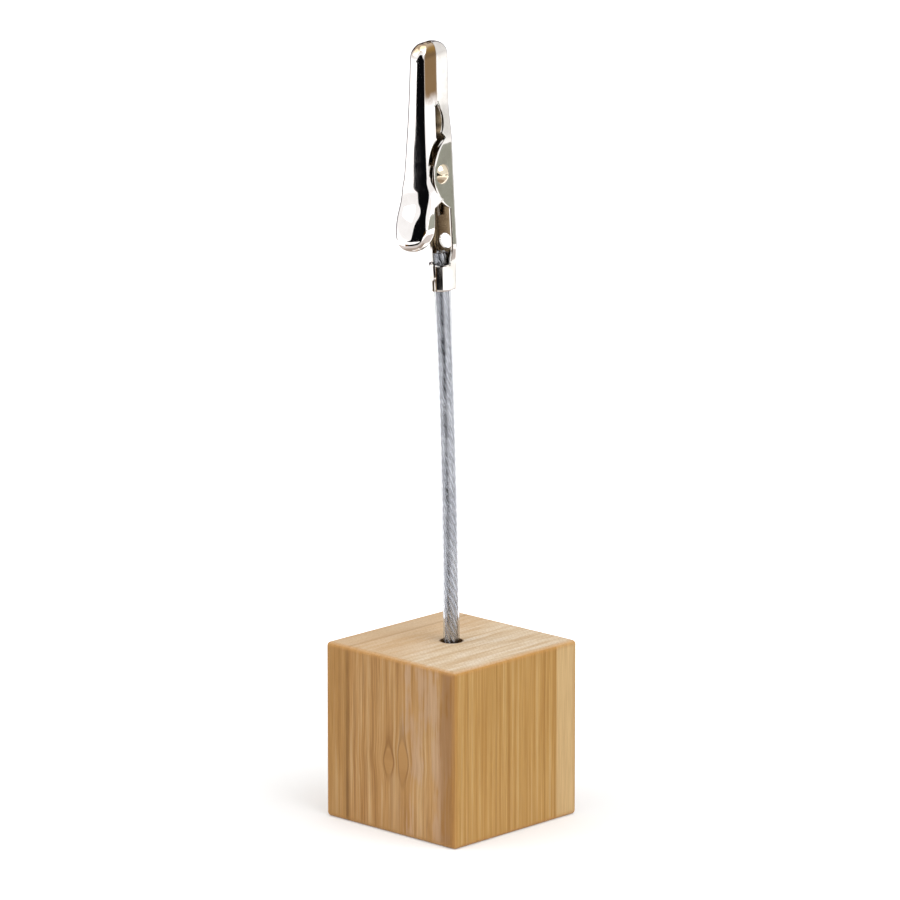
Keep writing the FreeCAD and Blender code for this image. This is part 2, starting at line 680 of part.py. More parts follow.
def pivot_rivet():
    """A turned rivet with two domed heads against the ears."""
    body = doc.addObject("PartDesign::Body", "PivotRivet")
    plane = [item for item in body.Origin.OriginFeatures if item.Role == "XZ_Plane"][0]
    axis = [item for item in body.Origin.OriginFeatures if item.Role == "Z_Axis"][0]
    sketch = body.newObject("Sketcher::SketchObject", "RivetProfile")
    sketch.AttachmentSupport = [(plane, "")]
    sketch.MapMode = "FlatFace"
    shank = S["pin_diameter"] / 2
    head = S["head_diameter"] / 2
    seat = S["ear_half"]
    top = seat + S["head_height"]
    dome = (head * head + S["head_height"] * S["head_height"]) / (S["head_height"] * 2)
    zero = as_size(0)
    draw_outline(sketch, [
        (zero, -top, dome),
        (head, -seat, None),
        (shank, -seat, None),
        (shank, seat, None),
        (head, seat, dome),
        (zero, top, None),
    ])
    turned = body.newObject("PartDesign::Revolution", "RivetTurned")
    turned.Profile = sketch
    turned.ReferenceAxis = (axis, [""])
    turned.Angle = 360
    body.Tip = turned
    place = Placement(Vector(V["pivot_height"], 0, V["pivot_along"]), Rotation(Vector(1, 0, 0), 90))
    body.Placement = CLIP.multiply(place)
    keep(body, "pivot_rivet")


def torsion_spring():
    """A coil round the rivet with one leg on the tail's floor and one under the lever."""
    wire = V["spring_wire"] / 2
    coil = V["pin_diameter"] / 2 + V["spring_fit"] + wire
    along = V["pivot_along"] - V["spring_reach"]
    pivot = Vector(V["pivot_height"], 0, V["pivot_along"])
    floor_end = Vector(FLOOR.value + V["sheet"] + V["spring_seat"] + wire, 0, along)
    lever_end = Vector(lever_back(along) - V["sheet"] - V["spring_seat"] - wire, 0, along)
    touches = []
    for target, side in ((floor_end, 1), (lever_end, -1)):
        away = target - pivot
        bearing = math.atan2(away.x, away.z)
        touches.append(bearing + side * math.acos(coil / away.Length))
    start, end = touches
    turns = V["spring_turns"] - 1 + ((end - start) % (2 * math.pi)) / (2 * math.pi)
    pitch = V["spring_wire"] + HAIR
    length = turns * pitch
    helix = Part.makeHelix(pitch, length, coil)
    section = Part.Wire([Part.makeCircle(wire, Vector(coil, 0, 0), Vector(0, coil, pitch / (2 * math.pi)))])
    wound = Part.Wire(helix.Edges).makePipeShell([section], True, True)
    wound.Placement = Placement(
        pivot - Vector(0, length / 2, 0),
        Rotation(Vector(0, 0, 1), Vector(math.sin(start), 0, math.cos(start)), Vector(0, 1, 0), "ZXY"),
    )
    pieces = [wound]
    for target, angle, place in ((floor_end, start, -length / 2), (lever_end, end, length / 2)):
        touch = pivot + Vector(math.sin(angle), 0, math.cos(angle)) * coil + Vector(0, place, 0)
        far = target + Vector(0, place, 0)
        pieces.append(Part.makeCylinder(wire, (far - touch).Length, touch, far - touch))
    spring = doc.addObject("Part::Feature", "TorsionSpring")
    spring.Shape = pieces[0].fuse(pieces[1:])
    spring.Placement = CLIP
    keep(spring, "torsion_spring")


bamboo_block()
stem()
lower_jaw()
lever_jaw()
pivot_rivet()
torsion_spring()
doc.recompute()

faulty = [item.Label for item in doc.Objects if "Invalid" in item.State or "Error" in item.State]
faulty += [item.Label for item in made if item.Shape.isNull() or not item.Shape.isValid()]
faulty += [item.Label for item in made if len(item.Shape.Solids) != 1]
if faulty:
    raise RuntimeError(f"these objects are at fault: {faulty}")
for item in made:
    item.Shape.exportStep(f"parts/{item.Label}.step")
    print(f"{item.Label}: {item.Shape.Volume:.2f} cubic mm, {len(item.Shape.Faces)} faces")
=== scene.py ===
import math

import bmesh
import bpy
from mathutils import Matrix, Vector


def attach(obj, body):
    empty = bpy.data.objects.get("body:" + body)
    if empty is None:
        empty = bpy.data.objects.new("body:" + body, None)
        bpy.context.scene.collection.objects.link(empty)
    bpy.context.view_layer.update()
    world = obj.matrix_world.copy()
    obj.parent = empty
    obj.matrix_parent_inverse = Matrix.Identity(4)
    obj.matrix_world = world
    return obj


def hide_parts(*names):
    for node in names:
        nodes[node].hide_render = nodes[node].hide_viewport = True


# Looks of the memo clip holder. Sizes are in millimetres here and turned to metres in the meshes.
MM = 0.001

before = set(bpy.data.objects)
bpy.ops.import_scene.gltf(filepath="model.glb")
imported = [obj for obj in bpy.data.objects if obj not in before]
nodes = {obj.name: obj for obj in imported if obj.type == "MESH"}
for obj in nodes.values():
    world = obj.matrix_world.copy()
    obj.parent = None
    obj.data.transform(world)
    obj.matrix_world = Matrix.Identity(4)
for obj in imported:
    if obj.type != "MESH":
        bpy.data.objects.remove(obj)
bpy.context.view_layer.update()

# Block and stem, as in the solids
BASE_HEIGHT = 30.5
BORE_DEPTH = 14.0
ROPE_RADIUS = 0.75
SLEEVE_RADIUS = 1.4
STEM_RISE = 61.0
STEM_IN_CLIP = 6.4
FOOT_TILT = 0.6
TOP_TILT = 4.0

# Clip, as in the solids. Heights are counted across the clip from the stem's middle line toward the lever,
# halves sideways from the middle, and places along the clip from the crimp's open end toward the nose.
CLIP_TURN = 5.5
CLIP_LENGTH = 42.3
SHEET = 0.45
FLOOR = -1.9
CRIMP_LENGTH = 4.5
CRIMP_TOP = 1.9
HOLE_ALONG = 7.95
HOLE_RADIUS = 1.3
PAD_END = 8.2
PAD_START = 11.4
PIVOT_HEIGHT = 1.65
PIVOT_ALONG = 20.3
EAR_HALF = 2.5
MEET_START = 32.2
NOSE_START = 39.7
NOSE_HALF = 1.62
NOSE_BACK = 4.55
NOSE_FLOOR = FLOOR - 0.75
MEET_GAP = 0.03

# Forms of the clip that the looks add
TAIL_WALL = -0.15
PAD_LIFT = 0.8
END_SWELL = 0.12
NOSE_ROUND = CLIP_LENGTH - END_SWELL - NOSE_START
SOFT_EDGE = 0.07
EDGE_STEP = 0.3


# Places

def way(degrees):
    """Direction of the stem in the clip's plane where it leans by an angle."""
    return Vector((math.sin(math.radians(degrees)), 0, math.cos(math.radians(degrees))))


def aside(direction):
    """The direction square to one in the clip's plane."""
    return Vector((direction.z, 0, -direction.x))


STEM_PLANE = Matrix.Translation((0, 0, BASE_HEIGHT)) @ Matrix.Rotation(math.radians(CLIP_TURN - 90), 4, "Z")
BOW = STEM_RISE / math.radians(TOP_TILT - FOOT_TILT)
BOW_CENTRE = aside(way(FOOT_TILT)) * BOW
CRIMP = BOW_CENTRE - aside(way(TOP_TILT)) * BOW
CLIP = STEM_PLANE @ Matrix.Translation(CRIMP) @ Matrix.Rotation(math.radians(TOP_TILT), 4, "Y")


def metres(matrix):
    """The same placement with its shift in metres."""
    result = matrix.copy()
    result.translation = matrix.translation * MM
    return result


CLIP_M = metres(CLIP)
STEM_M = metres(STEM_PLANE)


def stem_frame(along):
    """Point and direction of the stem's middle line, along it from the mouth of the bore."""
    if along <= 0:
        return way(FOOT_TILT) * along, way(FOOT_TILT)
    if along >= STEM_RISE:
        return CRIMP + way(TOP_TILT) * (along - STEM_RISE), way(TOP_TILT)
    tilt = FOOT_TILT + (TOP_TILT - FOOT_TILT) * along / STEM_RISE
    return BOW_CENTRE - aside(way(tilt)) * BOW, way(tilt)


# Node helpers

def srgb(code):
    """A colour as it shows on screen, from six hex digits."""
    parts = [int(code[index:index + 2], 16) / 255 for index in (0, 2, 4)]
    linear = [part / 12.92 if part <= 0.04045 else ((part + 0.055) / 1.055) ** 2.4 for part in parts]
    return (*linear, 1.0)


class Nodes:
    """Builds a node tree in few words."""

    def __init__(self, tree):
        self.tree = tree
        self.nodes = tree.nodes

    def add(self, kind, inputs=(), **settings):
        node = self.nodes.new(kind)
        for key, value in settings.items():
            setattr(node, key, value)
        for key, value in dict(inputs).items():
            self.put(node, key, value)
        return node

    def put(self, node, key, value):
        socket = node.inputs[key]
        if isinstance(value, bpy.types.NodeSocket):
            self.tree.links.new(value, socket)
        else:
            socket.default_value = value

    def math(self, operation, first, second=0.0):
        return self.add("ShaderNodeMath", {0: first, 1: second}, operation=operation).outputs[0]

    def plus(self, first, second):
        return self.math("ADD", first, second)

    def minus(self, first, second):
        return self.math("SUBTRACT", first, second)

    def times(self, first, second):
        return self.math("MULTIPLY", first, second)

    def larger(self, first, second):
        return self.math("MAXIMUM", first, second)

    def size(self, value):
        return self.math("ABSOLUTE", value)

    def vector(self, operation, first, second=(0.0, 0.0, 0.0)):
        return self.add("ShaderNodeVectorMath", {0: first, 1: second}, operation=operation).outputs

    def step(self, value, low, high, to_low=0.0, to_high=1.0):
        """A smooth step of a value between two limits."""
        settings = {"Value": value, "From Min": low, "From Max": high, "To Min": to_low, "To Max": to_high}
        return self.add("ShaderNodeMapRange", settings, interpolation_type="SMOOTHSTEP").outputs[0]

    def mix(self, factor, first, second):
        return self.add("ShaderNodeMix", {0: factor, 6: first, 7: second}, data_type="RGBA").outputs[2]

    def lay(self, below, colour, mask, strength):
        """A colour laid over another where a mask is set."""
        return self.mix(self.times(mask, strength), below, srgb(colour))

    def position(self, scale=(1.0, 1.0, 1.0)):
        """Place on the piece in metres, or scaled."""
        return self.scaled(self.add("ShaderNodeTexCoord").outputs["Object"], scale)

    def scaled(self, vector, scale, offset=(0.0, 0.0, 0.0), turn=0.0):
        settings = {"Vector": vector, "Scale": scale, "Location": offset, "Rotation": (0.0, 0.0, turn)}
        return self.add("ShaderNodeMapping", settings).outputs[0]

    def noise(self, vector, scale=1.0, detail=3.0, roughness=0.5, distortion=0.0):
        settings = {"Vector": vector, "Scale": scale, "Detail": detail}
        settings.update({"Roughness": roughness, "Distortion": distortion})
        return self.add("ShaderNodeTexNoise", settings).outputs[0]

    def cells(self, vector, scale=1.0, randomness=1.0):
        """Distance from the middle of scattered cells."""
        settings = {"Vector": vector, "Scale": scale, "Randomness": randomness}
        return self.add("ShaderNodeTexVoronoi", settings).outputs["Distance"]

    def ramp(self, factor, *stops):
        """Colours at places of a factor, blended between them."""
        node = self.add("ShaderNodeValToRGB", {0: factor})
        elements = node.color_ramp.elements
        while len(elements) < len(stops):
            elements.new(0.5)
        for element, (place, colour) in zip(elements, stops):
            element.position = place
            element.color = srgb(colour)
        return node.outputs[0]

    def bump(self, height, strength, distance):
        settings = {"Height": height, "Strength": strength, "Distance": distance}
        return self.add("ShaderNodeBump", settings).outputs[0]

    def seen(self):
        """1 for what the camera, a polished or a clear surface sees, 0 for the light on the object."""
        path = self.add("ShaderNodeLightPath").outputs
        mirrored = self.larger(path["Is Glossy Ray"], path["Is Transmission Ray"])
        return self.larger(path["Is Camera Ray"], mirrored)


class Shader(Nodes):
    """The node tree of a new material."""

    def __init__(self, name):
        self.material = bpy.data.materials.new(name)
        self.material.use_nodes = True
        super().__init__(self.material.node_tree)

    def shade(self, **sockets):
        """Sets sockets of the principled shader; an underscore stands for a space."""
        for key, value in sockets.items():
            self.put(self.nodes["Principled BSDF"], key.replace("_", " "), value)
        return self.material

    def show(self, shader):
        """Puts another shader in the principled one's place."""
        self.nodes.remove(self.nodes["Principled BSDF"])
        self.tree.links.new(shader.outputs[0], self.nodes["Material Output"].inputs[0])
        return self.material


# Bamboo

STRIP_SEAM = -10.0
PALE_STRIP = 10.0
SCAR_MARKS = ((-0.3, 12.4, 1.1, 1.9), (2.9, 13.0, 1.2, 2.7))
DARK_LINES = ((-4.9, 0.35), (-1.9, 0.5), (7.0, 0.3), (9.6, 0.35), (-11.8, 0.3))


def parted_fibres(s, x, z):
    """Fibres part round two almond marks, the scar of a branch at the culm's node. Gives the place
    that a fibre has far from the marks, and a mask of the marks' rims."""
    flow = x
    scar = 0.0
    for middle, level, wide, tall in SCAR_MARKS:
        off = s.minus(flow, middle)
        high = s.math("DIVIDE", s.minus(z, level), tall)
        swell = s.math("EXPONENT", s.times(s.times(high, high), -1.0))
        rest = s.minus(s.times(off, off), s.times(swell, wide * wide))
        reach = s.math("SQRT", s.larger(rest, 0.0))
        flow = s.plus(middle, s.times(s.math("SIGN", off), reach))
        rim = s.step(s.size(s.minus(rest, 0.1)), 0.05, 0.5, 1.0, 0.0)
        fade_in = s.step(z, level - 2.2 * tall, level - 0.6 * tall)
        fade_out = s.step(z, level + tall, level + 3.6 * tall, 1.0, 0.0)
        scar = s.larger(scar, s.times(rim, s.times(fade_in, fade_out)))
    return flow, scar


def flat_face(s, place, x, z, fine, broad, scar, glue, waver):
    """The -Y and +Y sides: long streaks, a pale patch, strips of other tones and the scar."""
    broad_tone = s.ramp(broad, (0.36, "b07f44"), (0.46, "bc8d54"), (0.56, "c69860"), (0.66, "cfa773"))
    streaks = s.ramp(fine, (0.36, "956636"), (0.45, "b98950"), (0.55, "c89a62"), (0.64, "d6b384"))
    tone = s.mix(0.55, broad_tone, streaks)

    patch = s.noise(s.scaled(place, (0.2, 0.2, 0.07), (4.0, 1.0, 2.0)), 1.0, 3.0, 0.6)
    pale = s.step(s.plus(patch, s.times(fine, 0.5)), 0.7, 0.83)
    tone = s.lay(tone, "cba888", s.times(pale, s.step(x, 0.5, 4.0)), 0.62)

    ragged = s.plus(x, s.times(s.minus(waver, 0.5), 1.2))
    tone = s.lay(tone, "b58749", s.step(x, STRIP_SEAM - 0.05, STRIP_SEAM + 0.15, 1.0, 0.0), 0.45)
    tone = s.lay(tone, "946329", s.step(ragged, 10.9, 12.4), 0.65)
    stain = s.step(s.plus(waver, s.times(z, -0.012)), 0.1, 0.6, 0.5, 0.95)
    tone = s.lay(tone, "87602f", glue, stain)

    under_scar = s.step(s.size(s.minus(x, 1.2)), 0.6, 1.7, 1.0, 0.0)
    tone = s.lay(tone, "d0ab7c", s.times(s.step(z, 12.5, 9.0), under_scar), 0.4)
    return s.lay(tone, "80552a", scar, 0.5)


def edge_face(s, place, y):
    """The -X and +X sides: fine straight lines and a paler last strip."""
    lines = s.noise(s.scaled(place, (1.4, 1.4, 0.02), (9.0, 3.0, 0.0)), 1.0, 4.0, 0.65, 0.1)
    tone = s.ramp(lines, (0.38, "b78847"), (0.47, "c19553"), (0.55, "c79c5c"), (0.64, "cda86d"))
    dark = 0.0
    for middle, width in DARK_LINES:
        dark = s.larger(s.step(s.size(s.minus(y, middle)), 0.0, width, 1.0, 0.0), dark)
    tone = s.lay(tone, "a07030", dark, 0.5)
    return s.lay(tone, "dcbd8b", s.step(y, PALE_STRIP - 0.3, PALE_STRIP + 0.3), 0.7)


def end_face(s, place, x, y, glue):
    """The top and bottom: bundles of fibres as small dots, rows along the strips, darker toward -X."""
    rows = s.noise(s.scaled(place, (0.9, 0.07, 0.1), (2.0, 5.0, 0.0)), 1.0, 4.0, 0.6)
    tone = s.ramp(rows, (0.38, "cfb490"), (0.5, "dcc7a8"), (0.62, "e6d6bf"))
    dots = s.step(s.cells(s.scaled(place, (2.0, 1.5, 0.1), turn=0.5), randomness=0.4), 0.15, 0.5)
    tone = s.lay(tone, "bb9468", s.minus(1.0, dots), 0.32)
    tone = s.mix(s.step(s.plus(x, s.times(y, 0.2)), -5.0, 3.0, 0.5, 0.0), tone, srgb("cca77a"))
    tone = s.lay(tone, "b08c62", glue, 0.6)
    return s.lay(tone, "d0b695", s.step(x, STRIP_SEAM - 0.05, STRIP_SEAM + 0.15, 1.0, 0.0), 0.4)


def bamboo():
    """Laminated bamboo: broad strips on the Y sides, edge grain on the X sides, end grain above and below."""
    s = Shader("bamboo")
    place = s.position((1000, 1000, 1000))
    x, y, z = s.add("ShaderNodeSeparateXYZ", {0: place}).outputs
    normal = s.add("ShaderNodeNewGeometry").outputs["True Normal"]
    facing = s.add("ShaderNodeSeparateXYZ", {0: normal}).outputs
    to_y = s.step(s.size(facing[1]), 0.55, 0.85)
    to_z = s.step(s.size(facing[2]), 0.55, 0.85)

    flow, scar = parted_fibres(s, x, z)
    bent = s.add("ShaderNodeCombineXYZ", {0: flow, 1: y, 2: z}).outputs[0]
    broad = s.noise(s.scaled(bent, (0.42, 0.42, 0.03)), 1.0, 4.0, 0.6, 0.3)
    fine = s.noise(s.scaled(bent, (1.7, 1.7, 0.045)), 1.0, 4.0, 0.6, 0.2)
    hair = s.noise(s.scaled(bent, (5.0, 5.0, 0.11)), 1.0, 3.0, 0.6)
    waver = s.noise(s.scaled(place, (0.2, 0.2, 0.12)), 1.0, 2.0)
    glue_start = s.step(x, STRIP_SEAM - 0.5, STRIP_SEAM - 0.1)
    glue = s.minus(glue_start, s.step(x, STRIP_SEAM + 0.1, STRIP_SEAM + 0.8))

    flat = flat_face(s, place, x, z, fine, broad, scar, glue, waver)
    side = s.mix(to_y, edge_face(s, place, y), flat)
    wood = s.mix(to_z, side, end_face(s, place, x, y, glue))

    # sanded edges show denser, more orange wood
    near_x = s.step(s.size(x), 13.7, 14.9)
    near_y = s.step(s.size(y), 13.7, 14.9)
    near_z = s.step(s.size(s.minus(z, BASE_HEIGHT / 2)), 14.1, 15.1)
    edge = s.larger(s.times(near_x, near_y), s.times(near_z, s.larger(near_x, near_y)))
    wood = s.lay(wood, "c08c4c", edge, 0.65)

    # painted shade: the walls of the bore are darker
    out = s.math("SQRT", s.plus(s.math("POWER", x, 2.0), s.math("POWER", y, 2.0)))
    bore_shade = s.times(s.step(out, 1.9, 2.25, 1.0, 0.0), s.step(z, 1.0, 2.0))
    wood = s.lay(wood, "4a2f17", bore_shade, 0.75)

    wood = s.mix(s.step(hair, 0.4, 0.62, 0.0, 0.2), wood, srgb("8a5f30"))
    grain_height = s.plus(s.times(hair, 0.6), s.times(fine, 0.4))
    return s.shade(
        Base_Color=wood,
        Roughness=s.step(fine, 0.2, 0.8, 0.38, 0.5),
        Specular_IOR_Level=0.25,
        Normal=s.bump(grain_height, 0.25, 0.00008),
    )


# Metal, plastic and resin

def nose_painted_reflection(s, tint, place, haze, strength):
    """Painted reflection: a dark gold tint on the flanks near the nose and a paler gold tint at its tip,
    standing in for brown surroundings mirrored in the plate.
    """
    away = s.vector("SUBTRACT", place, tuple(CLIP_M.translation))[0]
    along = s.vector("DOT_PRODUCT", away, tuple(CLIP_M.col[2][:3]))[1]
    along = s.plus(along, s.times(s.minus(haze, 0.5), 0.003))
    normal = s.add("ShaderNodeNewGeometry").outputs["Normal"]
    sideways = s.vector("DOT_PRODUCT", normal, tuple(CLIP_M.col[1][:3]))[1]
    flank = s.times(s.step(s.size(sideways), 0.72, 0.95), s.step(along, 0.0318, 0.0345))
    tint = s.lay(tint, "69490f", flank, strength)
    return s.lay(tint, "a27d3c", s.step(along, 0.0405, 0.0419), 0.8 * strength)


def nickel(name, colour, hazed, roughness, painted_reflection=0.0):
    """Bright nickel plate with faint rolling marks and handling haze."""
    s = Shader(name)
    place = s.position()
    haze = s.noise(place, 260.0, 4.0, 0.6)
    marks = s.noise(s.scaled(place, (900.0, 900.0, 60.0)), 1.0, 3.0, 0.6)
    tint = s.mix(s.step(haze, 0.35, 0.7), srgb(colour), srgb(hazed))
    # a strength above zero adds a painted reflection near the nose
    if painted_reflection:
        tint = nose_painted_reflection(s, tint, place, haze, painted_reflection)
    dullness = s.plus(s.times(haze, 0.7), s.times(marks, 0.3))
    return s.shade(
        Base_Color=tint,
        Metallic=1.0,
        Roughness=s.step(dullness, 0.3, 0.7, roughness, roughness + 0.05),
        Normal=s.bump(haze, 0.04, 0.0001),
    )


def steel_rope():
    """Bright drawn wires laid into strands; the fine wires are a bump along each strand."""
    s = Shader("steel_rope")
    uv = s.add("ShaderNodeTexCoord").outputs["UV"]
    bands = {"wave_type": "BANDS", "bands_direction": "DIAGONAL"}
    wires = s.add("ShaderNodeTexWave", {"Vector": uv, "Scale": 1.0}, **bands).outputs[1]
    grime = s.noise(s.position((900.0, 900.0, 200.0)))
    tint = s.mix(s.step(grime, 0.3, 0.7), srgb("c4c6cb"), srgb("e4e6ea"))
    # painted shade: darker in the grooves between the wires
    tint = s.mix(s.step(wires, 0.0, 0.45, 0.35, 0.0), tint, srgb("56585e"))
    return s.shade(
        Base_Color=tint,
        Metallic=1.0,
        Roughness=s.step(grime, 0.3, 0.7, 0.16, 0.26),
        Normal=s.bump(wires, 0.4, 0.00005),
    )


def clear_sleeve():
    """Clear soft plastic with a faint grey tint and a few scuffs."""
    s = Shader("clear_sleeve")
    scuffs = s.noise(s.position((700.0, 700.0, 90.0)), 1.0, 4.0, 0.65)
    return s.shade(
        Base_Color=s.mix(s.step(scuffs, 0.3, 0.7), srgb("cfd0d4"), srgb("dadbdf")),
        Roughness=s.step(scuffs, 0.35, 0.75, 0.03, 0.1),
        Transmission_Weight=1.0,
        IOR=1.5,
        Normal=s.bump(scuffs, 0.08, 0.0001),
    )


def adhesive():
    """Cured resin, amber where it is thick, with small bubbles."""
    s = Shader("adhesive")
    place = s.position()
    bubbles = s.cells(place, 1600.0)
    cloud = s.noise(place, 500.0)
    tint = s.mix(s.step(cloud, 0.3, 0.7), srgb("6b5232"), srgb("8d744c"))
    return s.shade(
        Base_Color=s.mix(s.step(bubbles, 0.1, 0.25, 0.4, 0.0), tint, srgb("c9bb98")),
        Roughness=s.step(cloud, 0.3, 0.7, 0.12, 0.3),
        Normal=s.bump(bubbles, 0.2, 0.0001),
    )


def spring_wire():
    """Drawn spring wire with fine lines."""
    s = Shader("spring_wire")
    lines = s.noise(s.position((1500.0, 1500.0, 300.0)), 1.0, 4.0, 0.6)
    return s.shade(
        Base_Color=s.mix(s.step(lines, 0.3, 0.7), srgb("8a8379"), srgb("b9b0a3")),
        Metallic=1.0,
        Roughness=s.step(lines, 0.3, 0.7, 0.22, 0.38),
    )


MATERIALS = {
    "bamboo": bamboo(),
    # the lever's outer plate, with a painted reflection near the nose
    "painted_reflection": nickel("nickel_painted_reflection", "fbf7f5", "f2edea", 0.04, 0.95),
    "nickel": nickel("nickel_plate", "e6e2de", "d6d1cb", 0.05),
    # painted shade: the jaws' inner faces get a darker, browner nickel than their outer plate
    "shaded_inside": nickel("nickel_painted_shade_inside", "9c8a70", "7a6850", 0.22),
    "rivet": nickel("rivet_nickel", "eee2cc", "dccbac", 0.09),
    "rope": steel_rope(),
    "sleeve": clear_sleeve(),
    "adhesive": adhesive(),
    "spring": spring_wire(),
}


def dress(obj, *keys):
    obj.data.materials.clear()
    for key in keys:
        obj.data.materials.append(MATERIALS[key])


# Mesh helpers

def link(name, mesh):
    obj = bpy.data.objects.new(name, mesh)
    bpy.context.scene.collection.objects.link(obj)
    return obj


def round_points(count):
    """Cosine and sine of evenly spaced angles round a circle."""
    angles = [2 * math.pi * step / count for step in range(count)]
    return [(math.cos(angle), math.sin(angle)) for angle in angles]


def from_rows(name, rows, closed_ring=False, to_world=None):
    """A grid mesh from rows of points in millimetres, as quads."""
    mesh = bpy.data.meshes.new(name)
    width = len(rows[0])
    points = [point for row in rows for point in row]
    faces = []
    for row in range(len(rows) - 1):
        this, following = row * width, (row + 1) * width
        for column in range(width if closed_ring else width - 1):
            after = (column + 1) % width
            faces.append((this + column, this + after, following + after, following + column))
    mesh.from_pydata([tuple(Vector(point) * MM) for point in points], [], faces)
    if to_world is not None:
        mesh.transform(to_world)
    return link(name, mesh)


def weld(obj, distance=0.002):
    """Joins the points that lie within a distance and turns all faces to one side."""
    work = bmesh.new()
    work.from_mesh(obj.data)
    bmesh.ops.remove_doubles(work, verts=work.verts, dist=distance * MM)
    bmesh.ops.recalc_face_normals(work, faces=work.faces)
    work.to_mesh(obj.data)
    work.free()


def join(obj, other):
    """Adds another object's mesh to an object's own."""
    work = bmesh.new()
    work.from_mesh(obj.data)
    work.from_mesh(other.data)
    work.to_mesh(obj.data)
    work.free()
    bpy.data.objects.remove(other)


def apply_modifiers(obj):
    """Bakes an object's modifiers into its mesh."""
    baked = bpy.data.meshes.new_from_object(obj.evaluated_get(bpy.context.evaluated_depsgraph_get()))
    obj.modifiers.clear()
    obj.data = baked
    return obj


def soften(obj, width, sharper_than=30.0):
    """Adds a small round to the edges that are sharper than an angle."""
    edge = obj.modifiers.new("edges", "BEVEL")
    edge.width = width * MM
    edge.segments = 2
    edge.limit_method = "ANGLE"
    edge.angle_limit = math.radians(sharper_than)


def smooth(obj, degrees=35):
    obj.data.shade_smooth()
    obj.data.set_sharp_from_angle(angle=math.radians(degrees))
    return obj


def monotone(*points):
    """A smooth function through (place, value) points that never overshoots them."""
    places = [place for place, value in points]
    values = [value for place, value in points]
    steps = [(values[i + 1] - values[i]) / (places[i + 1] - places[i]) for i in range(len(points) - 1)]
    slopes = [steps[0]]
    for before, after in zip(steps, steps[1:]):
        slopes.append(0.0 if before * after <= 0 else 2 * before * after / (before + after))
    slopes.append(steps[-1])

    def value_at(place):
        place = min(max(place, places[0]), places[-1])
        index = max(i for i in range(len(places) - 1) if places[i] <= place)
        span = places[index + 1] - places[index]
        t = (place - places[index]) / span
        return (
            values[index] * (1 + 2 * t) * (1 - t) ** 2
            + slopes[index] * span * t * (1 - t) ** 2
            + values[index + 1] * t * t * (3 - 2 * t)
            - slopes[index + 1] * span * t * t * (1 - t)
        )

    return value_at


def rounded(full, tip, share):
    """A value that falls from full to tip as a quarter of an ellipse does."""
    return tip + (full - tip) * math.sqrt(max(0.0, 1 - share ** 2))


def arc_between(start, end, radius, count, bulge):
    """Points of an arc between two points (along, height), bulging toward the lever (1) or away (-1)."""
    (a0, h0), (a1, h1) = start, end
    chord = math.hypot(a1 - a0, h1 - h0)
    rise = math.sqrt(radius ** 2 - chord ** 2 / 4)
    nx, nh = -(h1 - h0) / chord, (a1 - a0) / chord
    if nh * bulge > 0:
        nx, nh = -nx, -nh
    ca, ch = (a0 + a1) / 2 + nx * rise, (h0 + h1) / 2 + nh * rise
    first, last = math.atan2(h0 - ch, a0 - ca), math.atan2(h1 - ch, a1 - ca)
    turn = (last - first + math.pi) % (2 * math.pi) - math.pi
    angles = [first + turn * i / count for i in range(count + 1)]
    return [(ca + radius * math.cos(angle), ch + radius * math.sin(angle)) for angle in angles]


# Folded sheets

WALL_STEPS = 5
BEND_STEPS = 10
BACK_STEPS = 14
CLOSING_STEPS = 4


def channel_rows(edge, half, back, bend, crown, facing):
    """Rows of a folded channel along its free edge's points (along, height). Its back is an arc that
    turns by the crown's angle to each side, and a bend leads from there into the walls."""
    rows = []
    for along, height in edge:
        wide, top = half(along), back(along)
        corner = min(bend(along), 0.92 * wide)
        sweep = math.radians(crown(along))
        arch = (wide - corner) / math.sin(sweep) + corner
        centre = top - facing * (corner * math.cos(sweep) + arch * (1 - math.cos(sweep)))
        # where the free edge lies above the wall, the bend starts at the edge
        first = math.acos(min(max(facing * (height - centre) / corner, 0.0), 0.95))
        if first < math.radians(90):
            side = [(height, wide - corner + corner * math.sin(first))] * WALL_STEPS
        else:
            side = [(height + (centre - height) * step / WALL_STEPS, wide) for step in range(WALL_STEPS)]
        for step in range(BEND_STEPS):
            angle = first + (sweep - first) * step / BEND_STEPS
            out = wide - corner + corner * math.sin(angle)
            side.append((centre + facing * corner * math.cos(angle), out))
        for step in range(BACK_STEPS + 1):
            angle = sweep * (1 - step / BACK_STEPS)
            side.append((top - facing * arch * (1 - math.cos(angle)), arch * math.sin(angle)))
        row = [(p, q, along) for p, q in side]
        row += [(p, -q, along) for p, q in reversed(side[:-1])]
        rows.append(row)
    return rows


def close_end(rows, at_start=False):
    """Adds shrinking rows that close a rounded end with a slight swell."""
    row = rows[0] if at_start else rows[-1]
    centre = (row[0][0] + row[len(row) // 2][0]) / 2
    made = []
    for layer in range(1, CLOSING_STEPS + 1):
        share = layer / CLOSING_STEPS
        keep = 1 - share
        push = END_SWELL * math.sin(math.radians(90) * share) * (-1 if at_start else 1)
        made.append([(centre + (p - centre) * keep, q * keep, along + push) for p, q, along in row])
    return made[::-1] + rows if at_start else rows + made


def thicken(obj, outward_point):
    """Gives a sheet its thickness on the side away from the outer surface and softens its cut edges."""
    mesh = obj.data
    face = mesh.polygons[len(mesh.polygons) // 2]
    if face.normal.dot(outward_point - face.center) < 0:
        mesh.flip_normals()
    solid = obj.modifiers.new("sheet", "SOLIDIFY")
    solid.thickness = SHEET * MM
    solid.offset = -1.0
    solid.use_even_offset = False
    solid.use_quality_normals = True
    # the inner faces take the second material, a darker nickel that is painted shade
    solid.material_offset = 1
    soften(obj, SOFT_EDGE, 50)
    return apply_modifiers(obj)


def meeting_line(along):
    """Height at which the jaws meet."""
    return 1.45 - 0.07 * (along - MEET_START)


